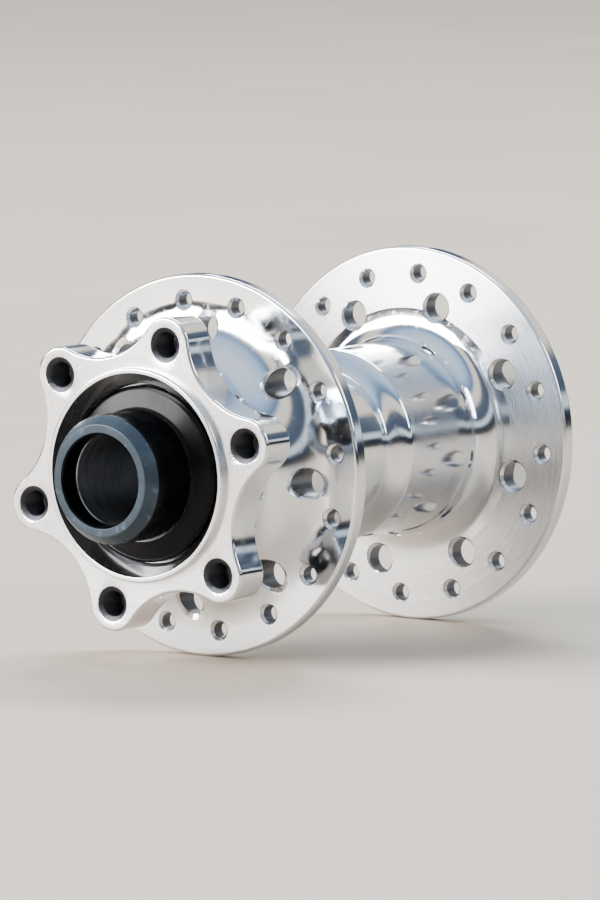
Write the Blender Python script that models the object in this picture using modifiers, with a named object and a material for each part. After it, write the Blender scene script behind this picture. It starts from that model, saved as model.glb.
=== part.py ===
"""Front bicycle hub with a six-bolt disc mount, modelled as its separate pieces.

The axle lies along Y with the disc side at -Y, +Z is up, and the origin is the middle of
the axle.  Dimensions are written in millimetres and turned into metres by MM.
"""
import math

import bmesh
import bpy
from mathutils import Matrix, Vector

MM = 0.001

# Fork interface: 110 mm between the end faces, 15 mm thru-axle.
HUB_WIDTH = 110.0
HALF_WIDTH = HUB_WIDTH / 2
CAP_BORE_RADIUS = 7.5
CAP_TIP_RADIUS = 10.5
CAP_TIP_WALL = 3.7
CAP_TIP_CHAMFER_LENGTH = 2.0
CAP_TIP_CHAMFER_DEPTH = 1.4
CAP_BORE_CHAMFER = 0.3

# Disc mount: six M5 holes on a 44 mm circle, 35 mm centring spigot.
ROTOR_FACE_Y = -44.5
ROTOR_BOLT_COUNT = 6
ROTOR_BOLT_CIRCLE_RADIUS = 22.0
ROTOR_BOLT_HOLE_RADIUS = 2.1
ROTOR_BOLT_ANGLE = 16.0
SPIGOT_RADIUS = 17.45
SPIGOT_HEIGHT = 1.2
LOBE_RADIUS = 4.5
LOBE_VALLEY_RADIUS = 19.7
LOBE_PLATE_THICKNESS = 6.5
LOBE_PLATE_BORE_RADIUS = 16.2

# Flanges: 16 spoke holes each, and 8 lightening holes between pairs of spoke holes.
FLANGE_RADIUS = 31.2
SPOKE_CIRCLE_RADIUS = 27.0
SPOKE_HOLE_RADIUS = 1.3
SPOKES_PER_FLANGE = 16
SPOKE_PITCH = 360.0 / SPOKES_PER_FLANGE
LIGHTENING_CIRCLE_RADIUS = 22.2
LIGHTENING_HOLE_RADIUS = 2.3
LIGHTENING_HOLES_PER_FLANGE = SPOKES_PER_FLANGE // 2
LEFT_SPOKE_ANGLE = 7.5
RIGHT_SPOKE_ANGLE = LEFT_SPOKE_ANGLE + SPOKE_PITCH / 2
LEFT_FLANGE_OUTER_Y = -27.4
RIGHT_FLANGE_OUTER_Y = 34.2
FLANGE_RIM_WIDTH = 2.6
FLANGE_INNER_SLOPE = 0.1
FLANGE_EDGE_CHAMFER = 0.5

# Shell body between and outside the flanges.
NECK_RADIUS = 18.0
STUB_RADIUS = 17.6
STUB_FILLET = 4.0
DRUM_RADIUS = 15.8
DRUM_FILLET = 4.5
DRUM_END_Y = 10.0
WAIST_RADIUS = 12.8
WAIST_FLARE = 3.5
SHELL_BORE_RADIUS = 10.8
SHELL_SHOULDER_RADIUS = 12.4
SHELL_SHOULDER_WIDTH = 1.2
RECESS_RADIUS = 14.8
RECESS_END_Y = 43.4
MOUTH_SLOPE = 0.78
RIGHT_SHELL_END_Y = 44.5

# Cartridge bearings, 17 x 28 x 7 mm.
BEARING_MIDDLE = 37.5
BEARING_WIDTH = 7.0
BEARING_OUTER_RADIUS = 14.0
BEARING_BORE_RADIUS = 8.5
BALL_COUNT = 13
BALL_RADIUS = 1.5
BALL_CIRCLE_RADIUS = 11.25
GROOVE_RADIUS = 1.66
OUTER_RACE_SHOULDER_RADIUS = 12.2
INNER_RACE_SHOULDER_RADIUS = 10.3
SEAL_SEAT_RADIUS = 12.75
SEAL_LAND_RADIUS = 9.85
SEAL_SEAT_DEPTH = 0.6
SEAL_THICKNESS = 0.35
CAGE_INNER_RADIUS = 10.75
CAGE_OUTER_RADIUS = 11.75
CAGE_BACK = -2.35
CAGE_FRONT = 0.9
CAGE_POCKET_RADIUS = 1.65
CAGE_POCKET_DRILL_LENGTH = 2.4

# Axle tube and the end caps that push over its ends.
AXLE_BORE_RADIUS = 7.6
AXLE_SEAT_RADIUS = 8.5
AXLE_MIDDLE_RADIUS = 9.4
AXLE_HALF_LENGTH = 51.0
CAP_FOOT_RADIUS = 9.8
CAP_FOOT_HEIGHT = 0.9
CAP_COVER_RADIUS = 14.35
CAP_COVER_THICKNESS = 1.3
CAP_COVER_CHAMFER = 0.5
CAP_CONE_HEIGHT = 1.6
CAP_SOCKET_RADIUS = 8.62
O_RING_MIDDLE = 47.2
O_RING_RADIUS = 9.08
O_RING_SECTION_RADIUS = 0.42
O_RING_GROOVE_RADIUS = 9.6
O_RING_GROOVE_WIDTH = 1.3

# Gap kept between seated faces, and the smaller one between nested round faces.
SEAT_GAP = 0.1
FIT_GAP = 0.06

# How far a drill reaches past the faces it goes through.
BOLT_DRILL_OVERRUN = 1.0
FLANGE_DRILL_OVERRUN = 4.0

# How finely round pieces are faceted.
SHELL_SEGMENTS = 40
CAP_SEGMENTS = 32
AXLE_SEGMENTS = 32
BEARING_SEGMENTS = 2 * BALL_COUNT
SEAL_SEGMENTS = 24
BOLT_HOLE_SIDES = 10
LIGHTENING_HOLE_SIDES = 8
SPOKE_HOLE_SIDES = 6
POCKET_SIDES = 10
ARC_STEPS = 3
BELL_STEPS = 4
GROOVE_STEPS = 4
SHOULDER_STEPS = 4

# The turned pieces are drawn about Z, and this turn lays Z along Y.
LAY_ALONG_Y = Matrix.Rotation(math.radians(-90.0), 4, "X")
FACE_THE_OTHER_END = Matrix.Rotation(math.radians(180.0), 4, "Z")


def clear_scene():
    for old_object in list(bpy.data.objects):
        bpy.data.objects.remove(old_object, do_unlink=True)


def make_collection(name):
    collection = bpy.data.collections.new(name)
    bpy.context.scene.collection.children.link(collection)
    return collection


def make_material(name, colour, metallic, roughness):
    material = bpy.data.materials.new(name)
    material.use_nodes = True
    material.diffuse_color = (*colour, 1.0)
    shader = material.node_tree.nodes["Principled BSDF"]
    shader.inputs["Base Color"].default_value = (*colour, 1.0)
    shader.inputs["Metallic"].default_value = metallic
    shader.inputs["Roughness"].default_value = roughness
    return material


def add_object(name, mesh, material, collection):
    new_object = bpy.data.objects.new(name, mesh)
    new_object.data.materials.append(material)
    collection.objects.link(new_object)
    return new_object


def arc(centre_radius, centre_y, radius, start_degrees, end_degrees, steps=ARC_STEPS):
    """Points (radius, y) on an arc; 0 degrees points outward and 90 degrees along +Y."""
    points = []
    for step in range(steps + 1):
        angle = math.radians(start_degrees + (end_degrees - start_degrees) * step / steps)
        points.append((centre_radius + radius * math.cos(angle), centre_y + radius * math.sin(angle)))
    return points


def turned(name, profile, segments, material, collection, opposite_end=False):
    """Turn a closed profile of (radius, y) points, which runs down its outer side, about Y."""
    mesh = bpy.data.meshes.new(name)
    outline = bmesh.new()
    corners = [outline.verts.new((radius * MM, 0.0, along * MM)) for radius, along in profile]
    for here, there in zip(corners, corners[1:] + corners[:1]):
        outline.edges.new((here, there))
    outline.to_mesh(mesh)
    outline.free()
    piece = add_object(name, mesh, material, collection)
    screw = piece.modifiers.new("turn", "SCREW")
    screw.axis = "Z"
    screw.angle = math.tau
    screw.steps = segments
    screw.render_steps = segments
    screw.use_merge_vertices = True
    screw.merge_threshold = 1e-6
    screw.use_smooth_shade = True
    piece.matrix_world = FACE_THE_OTHER_END @ LAY_ALONG_Y if opposite_end else LAY_ALONG_Y
    return piece


def around(angle_degrees, radius, y):
    """The point at this angle about the axle, counted from +X towards +Z."""
    angle = math.radians(angle_degrees)
    return Vector((radius * math.cos(angle), y, radius * math.sin(angle)))


def hide_helper(helper):
    helper.hide_render = True
    helper.display_type = "WIRE"


def add_boolean(target, helper, operation):
    boolean = target.modifiers.new(helper.name, "BOOLEAN")
    boolean.operation = operation
    boolean.solver = "EXACT"
    boolean.object = helper


def drill(target, name, angles, circle_radius, hole_radius, y_from, y_to, sides, cutters, material):
    """Cut a ring of holes that run along Y."""
    mesh = bpy.data.meshes.new(name)
    drills = bmesh.new()
    for angle in angles:
        middle = around(angle, circle_radius, (y_from + y_to) / 2) * MM
        bmesh.ops.create_cone(
            drills,
            cap_ends=True,
            segments=sides,
            radius1=hole_radius * MM,
            radius2=hole_radius * MM,
            depth=(y_to - y_from) * MM,
            matrix=Matrix.Translation(middle) @ LAY_ALONG_Y,
        )
    drills.to_mesh(mesh)
    drills.free()
    cutter = add_object(name, mesh, material, cutters)
    hide_helper(cutter)
    add_boolean(target, cutter, "DIFFERENCE")


def inner_flange_y(outer_y, radius):
    """The tapered inner face of a flange: thickest at its root, thinnest at its rim."""
    side = math.copysign(1.0, outer_y)
    return outer_y - side * (FLANGE_RIM_WIDTH + (FLANGE_RADIUS - radius) * FLANGE_INNER_SLOPE)


def flange_inner_side(outer_y):
    """Points from the rim down the inner face, and round its fillet to the drum."""
    side = math.copysign(1.0, outer_y)
    fillet_middle_radius = DRUM_RADIUS + DRUM_FILLET
    fillet_middle_y = inner_flange_y(outer_y, fillet_middle_radius) - side * DRUM_FILLET
    return [(FLANGE_RADIUS, inner_flange_y(outer_y, FLANGE_RADIUS)),
            *arc(fillet_middle_radius, fillet_middle_y, DRUM_FILLET, side * 90, side * 180)]


def drum_to_waist(side):
    """The shoulder from a drum's end down to the waist, as a smooth S."""
    points = []
    for step in range(SHOULDER_STEPS + 1):
        share = step / SHOULDER_STEPS
        drop = (1.0 - math.cos(math.pi * share)) / 2
        radius = DRUM_RADIUS + (WAIST_RADIUS - DRUM_RADIUS) * drop
        points.append((radius, side * (DRUM_END_Y - WAIST_FLARE * share)))
    return points


def shell_outer_side():
    """The shell's outer profile, from its right end to the disc side."""
    bell_radius = SPOKE_CIRCLE_RADIUS - NECK_RADIUS
    return [
        (STUB_RADIUS, RIGHT_SHELL_END_Y),
        *arc(STUB_RADIUS + STUB_FILLET, RIGHT_FLANGE_OUTER_Y + STUB_FILLET, STUB_FILLET, 180, 270),
        (FLANGE_RADIUS - FLANGE_EDGE_CHAMFER, RIGHT_FLANGE_OUTER_Y),
        (FLANGE_RADIUS, RIGHT_FLANGE_OUTER_Y - FLANGE_EDGE_CHAMFER),
        *flange_inner_side(RIGHT_FLANGE_OUTER_Y),
        *drum_to_waist(1.0),
        *reversed(drum_to_waist(-1.0)),
        *reversed(flange_inner_side(LEFT_FLANGE_OUTER_Y)),
        (FLANGE_RADIUS, LEFT_FLANGE_OUTER_Y + FLANGE_EDGE_CHAMFER),
        (FLANGE_RADIUS - FLANGE_EDGE_CHAMFER, LEFT_FLANGE_OUTER_Y),
        *arc(SPOKE_CIRCLE_RADIUS, LEFT_FLANGE_OUTER_Y - bell_radius, bell_radius, 90, 180,
             BELL_STEPS),
        (NECK_RADIUS, ROTOR_FACE_Y + LOBE_PLATE_THICKNESS / 2),
        (SPIGOT_RADIUS, ROTOR_FACE_Y + LOBE_PLATE_THICKNESS / 2),
        (SPIGOT_RADIUS, ROTOR_FACE_Y - SPIGOT_HEIGHT),
    ]


def mouth_corner(end_y):
    """Where the bore's cone, which opens outward from the recess, meets an end face."""
    return (RECESS_RADIUS + (abs(end_y) - RECESS_END_Y) * MOUTH_SLOPE, end_y)


def shell_inner_side():
    """The shell's bore, from the disc side to the right end."""
    half_bearing = BEARING_WIDTH / 2 + SEAT_GAP
    bearing_bore = BEARING_OUTER_RADIUS + FIT_GAP
    recess_start = BEARING_MIDDLE + half_bearing
    shoulder = BEARING_MIDDLE - half_bearing
    relief = shoulder - SHELL_SHOULDER_WIDTH
    from_middle_out = [
        (SHELL_BORE_RADIUS, relief),
        (SHELL_SHOULDER_RADIUS, relief),
        (SHELL_SHOULDER_RADIUS, shoulder),
        (bearing_bore, shoulder),
        (bearing_bore, recess_start),
        (RECESS_RADIUS, recess_start),
        (RECESS_RADIUS, RECESS_END_Y),
    ]
    disc_side = [(radius, -along) for radius, along in reversed(from_middle_out)]
    return [
        mouth_corner(ROTOR_FACE_Y - SPIGOT_HEIGHT),
        *disc_side,
        *from_middle_out,
        mouth_corner(RIGHT_SHELL_END_Y),
    ]


def lobe_outline():
    """The disc mount's outline: a round lobe at each bolt, and a hollow curve between lobes."""
    half_pitch = math.pi / ROTOR_BOLT_COUNT
    bolt = ROTOR_BOLT_CIRCLE_RADIUS
    valley = LOBE_VALLEY_RADIUS
    # The hollow's circle touches the valley radius and both neighbouring lobe circles.
    hollow = (valley ** 2 + bolt ** 2 - 2 * bolt * valley * math.cos(half_pitch) - LOBE_RADIUS ** 2) / (
        2 * (LOBE_RADIUS - valley + bolt * math.cos(half_pitch)))
    hollow_centre = valley + hollow
    lobe_end = math.atan2(hollow_centre * math.sin(half_pitch), hollow_centre * math.cos(half_pitch) - bolt)
    hollow_sweep = math.pi - lobe_end + half_pitch
    half_hollow = math.pi - hollow_sweep
    points = []
    for number in range(ROTOR_BOLT_COUNT):
        turn = math.radians(ROTOR_BOLT_ANGLE) + 2 * half_pitch * number
        for step in range(-ARC_STEPS, ARC_STEPS + 1):
            angle = turn + lobe_end * step / ARC_STEPS
            points.append((bolt * math.cos(turn) + LOBE_RADIUS * math.cos(angle),
                           bolt * math.sin(turn) + LOBE_RADIUS * math.sin(angle)))
        middle = turn + half_pitch
        for step in range(-1, 2):
            angle = middle + math.pi - (half_hollow * step / 2)
            points.append((hollow_centre * math.cos(middle) + hollow * math.cos(angle),
                           hollow_centre * math.sin(middle) + hollow * math.sin(angle)))
    return points


def circle_outline(radius, count):
    return [(radius * math.cos(math.tau * step / count), radius * math.sin(math.tau * step / count))
            for step in range(count)]


def add_lobe_plate(material, cutters):
    """The disc mount's plate, drawn flat, stood up along Y and made a mesh to be joined on."""
    curve = bpy.data.curves.new("lobe_plate", "CURVE")
    curve.dimensions = "2D"
    curve.fill_mode = "BOTH"
    curve.extrude = LOBE_PLATE_THICKNESS / 2 * MM
    for outline in (lobe_outline(), circle_outline(LOBE_PLATE_BORE_RADIUS, SHELL_SEGMENTS)):
        spline = curve.splines.new("POLY")
        spline.points.add(len(outline) - 1)
        spline.use_cyclic_u = True
        for point, (across, up) in zip(spline.points, outline):
            # The plate is drawn looking along -Y, so that +X and +Z keep their places.
            point.co = (across * MM, -up * MM, 0.0, 1.0)
    drawn = bpy.data.objects.new("lobe_plate_outline", curve)
    drawn.location.y = (ROTOR_FACE_Y + LOBE_PLATE_THICKNESS / 2) * MM
    drawn.rotation_euler = LAY_ALONG_Y.to_euler()
    cutters.objects.link(drawn)
    bpy.context.view_layer.update()
    evaluated = drawn.evaluated_get(bpy.context.evaluated_depsgraph_get())
    mesh = bpy.data.meshes.new_from_object(evaluated)
    welded = bmesh.new()
    welded.from_mesh(mesh)
    bmesh.ops.remove_doubles(welded, verts=welded.verts, dist=1e-6)
    welded.to_mesh(mesh)
    welded.free()
    plate = add_object("lobe_plate", mesh, material, cutters)
    plate.matrix_world = drawn.matrix_world.copy()
    bpy.data.objects.remove(drawn, do_unlink=True)
    hide_helper(plate)
    return plate


def ring_angles(count, first):
    return [first + 360.0 * number / count for number in range(count)]


def add_shell(material, parts, cutters):
    profile = shell_outer_side() + shell_inner_side()
    shell = turned("hub_shell", profile, SHELL_SEGMENTS, material, parts)
    add_boolean(shell, add_lobe_plate(material, cutters), "UNION")
    drill(shell, "rotor_bolt_drills", ring_angles(ROTOR_BOLT_COUNT, ROTOR_BOLT_ANGLE),
          ROTOR_BOLT_CIRCLE_RADIUS, ROTOR_BOLT_HOLE_RADIUS, ROTOR_FACE_Y - BOLT_DRILL_OVERRUN,
          ROTOR_FACE_Y + LOBE_PLATE_THICKNESS + BOLT_DRILL_OVERRUN, BOLT_HOLE_SIDES, cutters, material)
    flanges = (("left", LEFT_FLANGE_OUTER_Y, LEFT_SPOKE_ANGLE, -SPOKE_PITCH / 2),
               ("right", RIGHT_FLANGE_OUTER_Y, RIGHT_SPOKE_ANGLE, SPOKE_PITCH / 2))
    for side_name, outer_y, spoke_angle, lightening_offset in flanges:
        side = math.copysign(1.0, outer_y)
        inner_y = inner_flange_y(outer_y, LIGHTENING_CIRCLE_RADIUS)
        # The drills start clear of the outer face and stop clear of the tapered inner face.
        ends = sorted((outer_y + side * FLANGE_DRILL_OVERRUN, inner_y - side * FLANGE_DRILL_OVERRUN))
        drill(shell, side_name + "_spoke_drills", ring_angles(SPOKES_PER_FLANGE, spoke_angle),
              SPOKE_CIRCLE_RADIUS, SPOKE_HOLE_RADIUS, *ends, SPOKE_HOLE_SIDES, cutters, material)
        drill(shell, side_name + "_lightening_drills",
              ring_angles(LIGHTENING_HOLES_PER_FLANGE, spoke_angle + lightening_offset),
              LIGHTENING_CIRCLE_RADIUS, LIGHTENING_HOLE_RADIUS, *ends, LIGHTENING_HOLE_SIDES, cutters,
              material)
    return shell


def add_axle(material, parts):
    step = BEARING_MIDDLE - BEARING_WIDTH / 2 - SEAT_GAP
    profile = [
        (AXLE_SEAT_RADIUS, AXLE_HALF_LENGTH),
        (AXLE_SEAT_RADIUS, step),
        (AXLE_MIDDLE_RADIUS, step),
        (AXLE_MIDDLE_RADIUS, -step),
        (AXLE_SEAT_RADIUS, -step),
        (AXLE_SEAT_RADIUS, -AXLE_HALF_LENGTH),
        (AXLE_BORE_RADIUS, -AXLE_HALF_LENGTH),
        (AXLE_BORE_RADIUS, AXLE_HALF_LENGTH),
    ]
    return turned("axle", profile, AXLE_SEGMENTS, material, parts)


def groove(shoulder_radius):
    """The ball groove's arc on a race, from its +Y edge to its -Y edge, about the bearing's middle."""
    reach = shoulder_radius - BALL_CIRCLE_RADIUS
    edge = math.degrees(math.acos(reach / GROOVE_RADIUS))
    last = -edge if reach > 0 else 360 - edge
    return arc(BALL_CIRCLE_RADIUS, 0.0, GROOVE_RADIUS, edge, last, GROOVE_STEPS)


def outer_race_profile():
    half = BEARING_WIDTH / 2
    seat = half - SEAL_SEAT_DEPTH
    raceway = list(reversed(groove(OUTER_RACE_SHOULDER_RADIUS)))
    return [
        (BEARING_OUTER_RADIUS - FIT_GAP, half),
        (BEARING_OUTER_RADIUS - FIT_GAP, -half),
        (SEAL_SEAT_RADIUS, -half),
        (SEAL_SEAT_RADIUS, -seat),
        (OUTER_RACE_SHOULDER_RADIUS, -seat),
        *raceway,
        (OUTER_RACE_SHOULDER_RADIUS, seat),
        (SEAL_SEAT_RADIUS, seat),
        (SEAL_SEAT_RADIUS, half),
    ]


def inner_race_profile():
    half = BEARING_WIDTH / 2
    seat = half - SEAL_SEAT_DEPTH
    return [
        (SEAL_LAND_RADIUS, half),
        (SEAL_LAND_RADIUS, seat),
        (INNER_RACE_SHOULDER_RADIUS, seat),
        *groove(INNER_RACE_SHOULDER_RADIUS),
        (INNER_RACE_SHOULDER_RADIUS, -seat),
        (SEAL_LAND_RADIUS, -seat),
        (SEAL_LAND_RADIUS, -half),
        (BEARING_BORE_RADIUS + 2 * FIT_GAP, -half),
        (BEARING_BORE_RADIUS + 2 * FIT_GAP, half),
    ]


def seal_profile():
    outer = SEAL_SEAT_RADIUS - 2 * FIT_GAP
    inner = SEAL_LAND_RADIUS + 4 * FIT_GAP
    return [
        (outer, SEAL_THICKNESS / 2),
        (outer, -SEAL_THICKNESS / 2),
        (inner, -SEAL_THICKNESS / 2),
        (inner, SEAL_THICKNESS / 2),
    ]


def cage_profile():
    return [
        (CAGE_OUTER_RADIUS, CAGE_FRONT),
        (CAGE_OUTER_RADIUS, CAGE_BACK),
        (CAGE_INNER_RADIUS, CAGE_BACK),
        (CAGE_INNER_RADIUS, CAGE_FRONT),
    ]


def moved(profile, distance):
    return [(radius, along + distance) for radius, along in profile]


def cut_cage_pockets(cage, side_name, middle_y, cutters, material):
    """Open a round pocket for each ball, across the cage's wall."""
    mesh = bpy.data.meshes.new(side_name + "_pocket_drills")
    drills = bmesh.new()
    for angle in ring_angles(BALL_COUNT, 0.0):
        outward = Matrix.Rotation(math.radians(90.0 - angle), 4, "Y")
        middle = Matrix.Translation(around(angle, BALL_CIRCLE_RADIUS, middle_y) * MM)
        bmesh.ops.create_cone(
            drills,
            cap_ends=True,
            segments=POCKET_SIDES,
            radius1=CAGE_POCKET_RADIUS * MM,
            radius2=CAGE_POCKET_RADIUS * MM,
            depth=CAGE_POCKET_DRILL_LENGTH * MM,
            matrix=middle @ outward,
        )
    drills.to_mesh(mesh)
    drills.free()
    cutter = add_object(side_name + "_pocket_drills", mesh, material, cutters)
    hide_helper(cutter)
    add_boolean(cage, cutter, "DIFFERENCE")


def add_balls(side_name, middle_y, material, parts, cage_axis):
    mesh = bpy.data.meshes.new("bearing_ball")
    ball = bmesh.new()
    bmesh.ops.create_icosphere(ball, subdivisions=2, radius=BALL_RADIUS * MM)
    ball.to_mesh(mesh)
    ball.free()
    mesh.materials.append(material)
    mesh.shade_smooth()
    for number, angle in enumerate(ring_angles(BALL_COUNT, 0.0), start=1):
        piece = bpy.data.objects.new(f"{side_name}_ball_{number:02d}", mesh)
        piece.location = around(angle, BALL_CIRCLE_RADIUS, middle_y) * MM
        parts.objects.link(piece)
        piece.parent = cage_axis


def add_bearing(side_name, side, materials, parts, cutters):
    middle_y = side * BEARING_MIDDLE
    turned(side_name + "_bearing_outer_race", moved(outer_race_profile(), middle_y),
           BEARING_SEGMENTS, materials["bearing_steel"], parts)
    turned(side_name + "_bearing_inner_race", moved(inner_race_profile(), middle_y),
           BEARING_SEGMENTS, materials["bearing_steel"], parts)
    seal_y = (BEARING_WIDTH - SEAL_SEAT_DEPTH) / 2
    for place, direction in (("outboard", side), ("inboard", -side)):
        turned(f"{side_name}_bearing_{place}_seal", moved(seal_profile(), middle_y + direction * seal_y),
               SEAL_SEGMENTS, materials["seal_rubber"], parts)
    cage_axis = bpy.data.objects.new(side_name + "_cage_axis", None)
    parts.objects.link(cage_axis)
    cage = turned(side_name + "_ball_cage", moved(cage_profile(), middle_y), 2 * BALL_COUNT,
                  materials["cage_nylon"], parts)
    cage.parent = cage_axis
    cut_cage_pockets(cage, side_name, middle_y, cutters, materials["cage_nylon"])
    add_balls(side_name, middle_y, materials["ball_steel"], parts, cage_axis)


def cap_profile():
    """An end cap on the +Y end: foot on the inner race, dust cover, and tip against the fork."""
    foot_y = BEARING_MIDDLE + BEARING_WIDTH / 2 + SEAT_GAP
    cover_y = foot_y + CAP_FOOT_HEIGHT
    cover_top_y = cover_y + CAP_COVER_THICKNESS
    neck_y = cover_top_y + CAP_CONE_HEIGHT
    socket_end_y = HALF_WIDTH - CAP_TIP_WALL
    groove_half = O_RING_GROOVE_WIDTH / 2
    chamfer = CAP_COVER_CHAMFER
    return [
        (CAP_TIP_RADIUS - CAP_TIP_CHAMFER_DEPTH, HALF_WIDTH),
        (CAP_TIP_RADIUS, HALF_WIDTH - CAP_TIP_CHAMFER_LENGTH),
        (CAP_TIP_RADIUS, neck_y),
        (CAP_TIP_RADIUS + chamfer, neck_y - 2 * chamfer),
        (CAP_COVER_RADIUS - chamfer, cover_top_y),
        (CAP_COVER_RADIUS, cover_top_y - chamfer),
        (CAP_COVER_RADIUS, cover_y),
        (CAP_FOOT_RADIUS, cover_y),
        (CAP_FOOT_RADIUS, foot_y),
        (CAP_SOCKET_RADIUS, foot_y),
        (CAP_SOCKET_RADIUS, O_RING_MIDDLE - groove_half),
        (O_RING_GROOVE_RADIUS, O_RING_MIDDLE - groove_half),
        (O_RING_GROOVE_RADIUS, O_RING_MIDDLE + groove_half),
        (CAP_SOCKET_RADIUS, O_RING_MIDDLE + groove_half),
        (CAP_SOCKET_RADIUS, socket_end_y),
        (CAP_BORE_RADIUS, socket_end_y),
        (CAP_BORE_RADIUS, HALF_WIDTH - CAP_BORE_CHAMFER),
        (CAP_BORE_RADIUS + CAP_BORE_CHAMFER, HALF_WIDTH),
    ]


def add_end_cap(side_name, side, materials, parts):
    on_disc_side = side < 0
    turned(side_name + "_end_cap", cap_profile(), CAP_SEGMENTS, materials["cap_anodised"], parts,
           opposite_end=on_disc_side)
    section = arc(O_RING_RADIUS, O_RING_MIDDLE, O_RING_SECTION_RADIUS, 90, -210, 5)
    turned(side_name + "_cap_o_ring", section, SEAL_SEGMENTS, materials["seal_rubber"], parts,
           opposite_end=on_disc_side)


def main():
    clear_scene()
    parts = make_collection("hub_assembly")
    cutters = make_collection("hub_cutters")
    materials = {
        "polished_shell": make_material("polished_shell", (0.80, 0.82, 0.85), 1.0, 0.12),
        "axle_aluminium": make_material("axle_aluminium", (0.62, 0.64, 0.67), 1.0, 0.35),
        "cap_anodised": make_material("cap_anodised", (0.012, 0.014, 0.018), 0.6, 0.38),
        "bearing_steel": make_material("bearing_steel", (0.52, 0.53, 0.55), 1.0, 0.22),
        "ball_steel": make_material("ball_steel", (0.68, 0.69, 0.71), 1.0, 0.08),
        "cage_nylon": make_material("cage_nylon", (0.55, 0.50, 0.38), 0.0, 0.5),
        "seal_rubber": make_material("seal_rubber", (0.02, 0.02, 0.022), 0.0, 0.7),
    }
    add_shell(materials["polished_shell"], parts, cutters)
    add_axle(materials["axle_aluminium"], parts)
    for side_name, side in (("left", -1.0), ("right", 1.0)):
        add_bearing(side_name, side, materials, parts, cutters)
        add_end_cap(side_name, side, materials, parts)


main()
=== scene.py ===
"""Looks for the front hub: fine turned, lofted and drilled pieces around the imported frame.

The axle lies along Y with the disc side at -Y, and the origin is the middle of the axle.
Sizes are in millimetres until a mesh is written, where MM turns them into metres.
"""

import math

import bmesh
import bpy
from mathutils import Matrix, Vector


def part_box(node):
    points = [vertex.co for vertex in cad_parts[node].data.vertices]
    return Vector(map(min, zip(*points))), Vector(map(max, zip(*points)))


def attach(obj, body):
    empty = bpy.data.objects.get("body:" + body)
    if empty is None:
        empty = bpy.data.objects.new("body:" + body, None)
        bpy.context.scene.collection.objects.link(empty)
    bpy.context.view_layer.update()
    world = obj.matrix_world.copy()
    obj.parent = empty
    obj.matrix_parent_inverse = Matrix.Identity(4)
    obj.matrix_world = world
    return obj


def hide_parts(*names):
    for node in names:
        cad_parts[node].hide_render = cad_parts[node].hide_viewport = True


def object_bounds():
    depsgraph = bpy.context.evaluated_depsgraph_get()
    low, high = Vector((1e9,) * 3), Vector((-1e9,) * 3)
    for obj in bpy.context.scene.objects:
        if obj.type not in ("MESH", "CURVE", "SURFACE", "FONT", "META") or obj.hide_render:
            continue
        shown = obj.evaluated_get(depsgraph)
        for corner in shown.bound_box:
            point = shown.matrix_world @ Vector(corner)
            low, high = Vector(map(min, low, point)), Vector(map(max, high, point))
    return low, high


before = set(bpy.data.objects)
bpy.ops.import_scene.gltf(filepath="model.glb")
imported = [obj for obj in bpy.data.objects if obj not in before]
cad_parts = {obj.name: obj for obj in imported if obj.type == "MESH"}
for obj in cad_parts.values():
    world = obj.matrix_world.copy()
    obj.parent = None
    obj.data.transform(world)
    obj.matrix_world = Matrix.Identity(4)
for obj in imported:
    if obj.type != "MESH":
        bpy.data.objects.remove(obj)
cad_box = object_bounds()

MM = 0.001

# ---------------------------------------------------------------- sizes taken from the frame


def lowest(node, axis):
    return getattr(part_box(node)[0], axis) / MM


def highest(node, axis):
    return getattr(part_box(node)[1], axis) / MM


def centre(node, axis):
    return (lowest(node, axis) + highest(node, axis)) / 2


def ball_nodes(side_name):
    """The frame's balls on one side: their names end in a number, which the cage's doesn't."""
    start = side_name + "_ball_"
    return sorted(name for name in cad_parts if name.startswith(start) and name[-1].isdigit())


# Which way along Y each side lies. The disc side is the left one.
SIDES = {"left": -1.0, "right": 1.0}

FLANGE_RADIUS = highest("hub_shell", "x")
SPIGOT_END_Y = lowest("hub_shell", "y")
RIGHT_SHELL_END_Y = highest("hub_shell", "y")
CAP_END_Y = highest("right_end_cap", "y")
CAP_FOOT_Y = lowest("right_end_cap", "y")
CAP_COVER_RADIUS = highest("right_end_cap", "x")
AXLE_HALF_LENGTH = highest("axle", "y")
AXLE_MIDDLE_RADIUS = highest("axle", "x")
BEARING_MIDDLE = centre("right_bearing_outer_race", "y")
BEARING_HALF_WIDTH = highest("right_bearing_outer_race", "y") - BEARING_MIDDLE
OUTER_RACE_RADIUS = highest("right_bearing_outer_race", "x")
BALL_RADIUS = highest("right_ball_01", "y") - centre("right_ball_01", "y")
BALL_COUNT = len(ball_nodes("right"))

# ---------------------------------------------------------------- sizes of the design

# Left between pressed or seated pieces, so that they never share a surface.
SEAT_GAP = 0.1

# Disc mount.
SPIGOT_HEIGHT = 1.2
SPIGOT_RADIUS = 17.45
ROTOR_FACE_Y = SPIGOT_END_Y + SPIGOT_HEIGHT
LOBE_COUNT = 6
LOBE_ANGLE = 16.0
BOLT_CIRCLE_RADIUS = 22.0
BOLT_MINOR_RADIUS = 2.1
BOLT_MAJOR_RADIUS = 2.45
BOLT_THREAD_PITCH = 0.8
BOLT_CHAMFER = 0.45
LOBE_RADIUS = 4.5
LOBE_VALLEY_RADIUS = 19.7
LOBE_PLATE_THICKNESS = 6.5
LOBE_PLATE_BORE_RADIUS = 16.2
LOBE_EDGE_ROUND = 0.45
LOBE_SWEEP_DROP = 2.0
LOBE_SWEEP_SHARE = 0.45

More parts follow.
